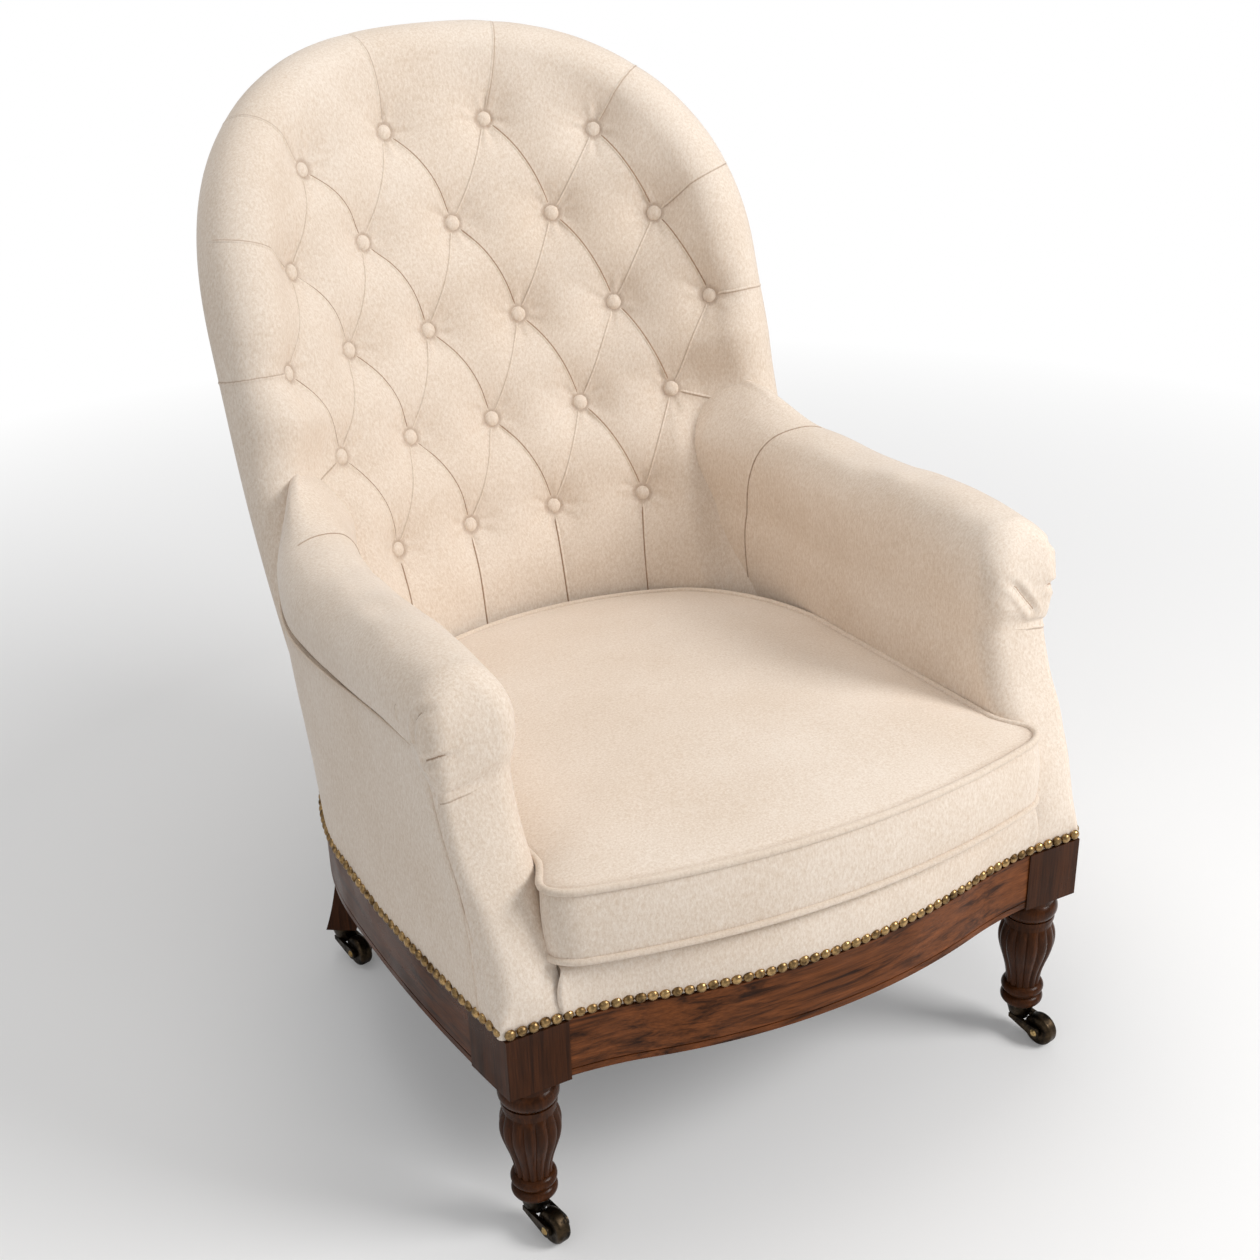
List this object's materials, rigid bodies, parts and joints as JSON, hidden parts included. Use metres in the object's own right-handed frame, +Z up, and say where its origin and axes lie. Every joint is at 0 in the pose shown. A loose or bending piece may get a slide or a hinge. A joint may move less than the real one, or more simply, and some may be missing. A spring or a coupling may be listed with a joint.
{
  "type": "upholstered armchair",
  "caption": "Deep-buttoned armchair with a concave raked back, scrolled padded arms, a loose piped cushion, dark wood rails, reeded front legs and swivel casters.",
  "frame": {"origin": "floor under the middle of the chair, at the centre of its box in plan", "axes": "+X to the right as seen by someone who faces the chair's front from -Y, +Y from the front to the back, +Z up"},
  "size_m": [0.7444, 0.999, 0.9868],
  "materials": {
    "show_wood": "polished dark rosewood",
    "frame_wood": "plain beech, unfinished",
    "linen": "cream linen velvet",
    "canvas": "unbleached canvas",
    "jute_web": "jute webbing",
    "cambric": "black cambric",
    "spring_steel": "oiled steel",
    "nail_brass": "antique brass",
    "axle_brass": "worn brass",
    "caster_bronze": "dark patinated brass",
    "caster_wheel": "dark patinated brass"
  },
  "bodies": {
    "root": {"arm_front_left": "linen", "arm_front_right": "linen", "arm_post_left": "frame_wood", "arm_post_right": "frame_wood", "arm_rail_left": "frame_wood", "arm_rail_right": "frame_wood", "back_buttons": "linen", "back_crest": "frame_wood", "back_nails": "nail_brass", "back_post_left": "frame_wood", "back_post_right": "frame_wood", "back_rail": "show_wood", "back_slat": "frame_wood", "back_webbing": "jute_web", "corner_braces": "frame_wood", "cup_front_left": "caster_bronze", "cup_front_right": "caster_bronze", "cup_rear_left": "caster_bronze", "cup_rear_right": "caster_bronze", "dust_cover": "cambric", "front_border": "linen", "front_leg_left": "show_wood", "front_leg_right": "show_wood", "front_nails": "nail_brass", "front_rail": "show_wood", "inside_arm_left": "linen", "inside_arm_right": "linen", "inside_back": "linen", "outside_arm_left": "linen", "outside_arm_right": "linen", "outside_back": "linen", "rear_leg_left": "show_wood", "rear_leg_right": "show_wood", "seat_deck": "canvas", "seat_springs": "spring_steel", "seat_webbing": "jute_web", "side_nails_left": "nail_brass", "side_nails_right": "nail_brass", "side_rail_left": "show_wood", "side_rail_right": "show_wood", "spring_canvas": "canvas"},
    "cushion": {"seat_cushion": "linen", "cushion_piping_bottom": "linen", "cushion_piping_top": "linen"},
    "fork_front_left": {"fork_front_left": "caster_bronze", "axle_front_left": "axle_brass"},
    "wheel_front_left": {"wheel_front_left": "caster_wheel"},
    "fork_front_right": {"fork_front_right": "caster_bronze", "axle_front_right": "axle_brass"},
    "wheel_front_right": {"wheel_front_right": "caster_wheel"},
    "fork_rear_left": {"fork_rear_left": "caster_bronze", "axle_rear_left": "axle_brass"},
    "wheel_rear_left": {"wheel_rear_left": "caster_wheel"},
    "fork_rear_right": {"fork_rear_right": "caster_bronze", "axle_rear_right": "axle_brass"},
    "wheel_rear_right": {"wheel_rear_right": "caster_wheel"}
  },
  "joints": [
    {"name": "cushion_lift", "type": "slide", "parent": "root", "child": "cushion", "axis": [0, 0, 1], "range_m": [0, 0.35]},
    {"name": "swivel_front_left", "type": "hinge", "parent": "root", "child": "fork_front_left", "pos_m": [-0.298, -0.42764, 0], "axis": [0, 0, 1], "continuous": true},
    {"name": "roll_front_left", "type": "hinge", "parent": "fork_front_left", "child": "wheel_front_left", "pos_m": [-0.29176, -0.45699, 0.018], "axis": [0.9781, 0.2079, 0], "continuous": true},
    {"name": "swivel_front_right", "type": "hinge", "parent": "root", "child": "fork_front_right", "pos_m": [0.298, -0.42764, 0], "axis": [0, 0, 1], "continuous": true},
    {"name": "roll_front_right", "type": "hinge", "parent": "fork_front_right", "child": "wheel_front_right", "pos_m": [0.30424, -0.45699, 0.018], "axis": [0.9781, 0.2079, 0], "continuous": true},
    {"name": "swivel_rear_left", "type": "hinge", "parent": "root", "child": "fork_rear_left", "pos_m": [-0.31293, 0.0809, 0], "axis": [0, 0, 1], "continuous": true},
    {"name": "roll_rear_left", "type": "hinge", "parent": "fork_rear_left", "child": "wheel_rear_left", "pos_m": [-0.30669, 0.05155, 0.018], "axis": [0.9781, 0.2079, 0], "continuous": true},
    {"name": "swivel_rear_right", "type": "hinge", "parent": "root", "child": "fork_rear_right", "pos_m": [0.31293, 0.0809, 0], "axis": [0, 0, 1], "continuous": true},
    {"name": "roll_rear_right", "type": "hinge", "parent": "fork_rear_right", "child": "wheel_rear_right", "pos_m": [0.31917, 0.05155, 0.018], "axis": [0.9781, 0.2079, 0], "continuous": true}
  ]
}
